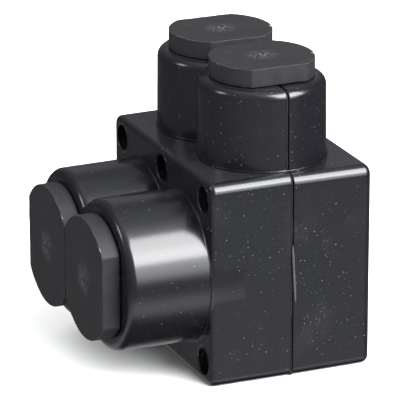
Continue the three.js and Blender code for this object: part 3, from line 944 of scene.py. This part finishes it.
def tinned_aluminium():
    material, nodes, shader, where = new_material("tinned_aluminium", metallic=1.0)
    grain = use(nodes, "grain", Where=where, Fine=3.5, Coarse=0.35)
    smears = use(nodes, "smears", Where=where, Broad=0.12, Fine=1.4)
    tone = nodes.mix(grain["Cloud"], (0.6, 0.61, 0.62, 1), (0.76, 0.77, 0.78, 1))
    tarnish = nodes.math("MULTIPLY", smears["Patch"], 0.4)
    nodes.feed(shader.inputs["Base Color"], nodes.mix(tarnish, tone, (0.45, 0.46, 0.47, 1)))
    nodes.feed(shader.inputs["Roughness"], nodes.range(smears["Streak"], 0, 1, 0.28, 0.45))
    bump(nodes, shader, grain["Height"], 0.25, 0.04)
    return material


def pale_floor():
    fixed = {"Roughness": 0.9, "Specular IOR Level": 0.1}
    material, nodes, shader, where = new_material("pale_floor", **fixed)
    cloud = nodes.noise(where, 0.01, 2, 0.5)
    tone = nodes.mix(cloud, (0.86, 0.86, 0.86, 1), (0.89, 0.89, 0.89, 1))
    nodes.feed(shader.inputs["Base Color"], tone)
    return material


# ---- Studio ----
FLOOR_REACH = 6.0  # half the width of the floor, in metres


def make_floor():
    mesh = bpy.data.meshes.new("floor")
    corners = [(FLOOR_REACH * x, FLOOR_REACH * y, 0) for x, y in ((-1, -1), (1, -1), (1, 1), (-1, 1))]
    mesh.from_pydata(corners, [], [(0, 1, 2, 3)])
    mesh.materials.append(pale_floor())
    floor = bpy.data.objects.new("floor", mesh)
    floor.visible_glossy = False
    bpy.context.scene.collection.objects.link(floor)


# Brightness of the studio by the height of the direction, from straight down (-1) to up (1).
FLOOR_RING = (
    (-1, 0.03), (-0.88, 0.06), (-0.8, 0.4), (-0.68, 1.7), (-0.55, 1.8), (-0.33, 0.5), (-0.15, 0.34),
    (0.2, 0.5), (0.75, 0.7), (1, 0.9),
)
RING_SCALE = 2.0  # keeps the colours of the ramp below 1
OVERHEAD = (0.603, 0.395, 0.693)  # towards the overhead softbox
# Soft glows: direction, cosines of the angles where each starts and is full, brightness.
GLOWS = (
    (OVERHEAD, 0.74, 0.97, 1.6),
    ((0.84, 0.38, 0.39), 0.895, 0.985, 5.0),
    ((-0.8, 0.25, 0.54), 0.72, 0.97, 0.1),
)


def soft_light(name, direction, distance, width, height, power):
    """A softbox facing the object from a direction, in metres and watts."""
    light = bpy.data.lights.new(name, "AREA")
    light.shape = "RECTANGLE"
    light.size, light.size_y = width, height
    light.energy = power
    lamp = bpy.data.objects.new(name, light)
    toward = Vector(direction).normalized()
    lamp.location = Vector((0, 0, 0.03)) + toward * distance
    lamp.rotation_euler = toward.to_track_quat("Z", "Y").to_euler()
    lamp.visible_camera = False
    bpy.context.scene.collection.objects.link(lamp)
    return lamp


def make_lights():
    soft_light("overhead_softbox", OVERHEAD, 0.62, 0.52, 0.4, 9.6)
    soft_light("front_reflector", (-0.22, -0.83, 0.51), 0.8, 0.2, 0.2, 1.0)
    fill = soft_light("shadow_fill", (-0.5, -0.55, 0.67), 1.3, 1.3, 1.3, 21.0)
    fill.visible_glossy = False


def make_world():
    """Dim studio walls, a pale ring of floor low down, and soft glows. Only the direction counts."""
    world = bpy.data.worlds.new("studio")
    world.use_nodes = True
    nodes = Nodes(world.node_tree)
    toward = nodes.add("ShaderNodeTexCoord").outputs["Generated"]
    parts = nodes.add("ShaderNodeSeparateXYZ", {0: toward}).outputs
    ring = nodes.add("ShaderNodeValToRGB", {0: nodes.range(parts["Z"], -1, 1)})
    stops = ring.color_ramp.elements
    for height, level in FLOOR_RING:
        stop = stops.new((height + 1) / 2)
        stop.color = (level / RING_SCALE, level / RING_SCALE, level / RING_SCALE, 1)
    stops.remove(stops[0])
    stops.remove(stops[len(stops) - 1])
    side = nodes.range(parts["X"], -0.95, 0.9, 0.2, 1.0)
    behind = nodes.range(parts["Y"], 0.42, 0.75, 1.0, 0.35)
    walls = nodes.math("MULTIPLY", nodes.math("MULTIPLY", ring.outputs["Color"], RING_SCALE), side)
    strength = nodes.math("MULTIPLY", walls, behind)
    for direction, outer, inner, level in GLOWS:
        near = nodes.add("ShaderNodeVectorMath", {0: toward, 1: direction}, operation="DOT_PRODUCT")
        glow = nodes.range(near.outputs["Value"], outer, inner, 0.0, level, smooth=True)
        strength = nodes.math("ADD", strength, glow)
    background = world.node_tree.nodes["Background"]
    background.inputs["Color"].default_value = (0.95, 0.97, 1.0, 1)
    nodes.feed(background.inputs["Strength"], strength)
    bpy.context.scene.world = world
    bpy.context.scene.view_settings.view_transform = "Standard"


def make_camera():
    azimuth, elevation, roll = math.radians(67.079), math.radians(19.177), math.radians(-0.103)
    camera = bpy.data.cameras.new("camera")
    camera.lens, camera.sensor_width = 315.3, 36.0
    camera.clip_start, camera.clip_end = 0.05, 20.0
    view = bpy.data.objects.new("camera", camera)
    view.location = (0.72669, -0.31784 + SEAM_Y * MM, 0.31002)
    view.rotation_euler = (math.pi / 2 - elevation, 0, azimuth)
    view.rotation_euler.rotate_axis("Z", roll)
    bpy.context.scene.collection.objects.link(view)
    bpy.context.scene.camera = view


make_camera()
black_plastic = glossy_black_plastic()
make_shells(black_plastic)
make_flash_lines(black_plastic)
make_recess_rims(black_plastic)
make_gaskets(
    grey_gasket_rubber("gasket_rubber", 0.006, 0.02),
    grey_gasket_rubber("torn_gasket_rubber", 0.02, 0.1),
)
make_plugs(matt_plug_rubber())
make_seals(soft_seal_rubber())
make_block(tinned_aluminium())
make_clamps(
    turned_metal("zinc_steel", (0.5, 0.51, 0.53, 1), (0.68, 0.69, 0.7, 1), 0.24, 0.38, 1.2),
    turned_metal("turned_brass", (0.5, 0.36, 0.16, 1), (0.68, 0.52, 0.26, 1), 0.25, 0.4, 2.0),
)
make_tapping_screws(
    turned_metal("black_steel", (0.03, 0.03, 0.032, 1), (0.07, 0.07, 0.075, 1), 0.35, 0.5, 2.5)
)
make_floor()
make_lights()
make_world()
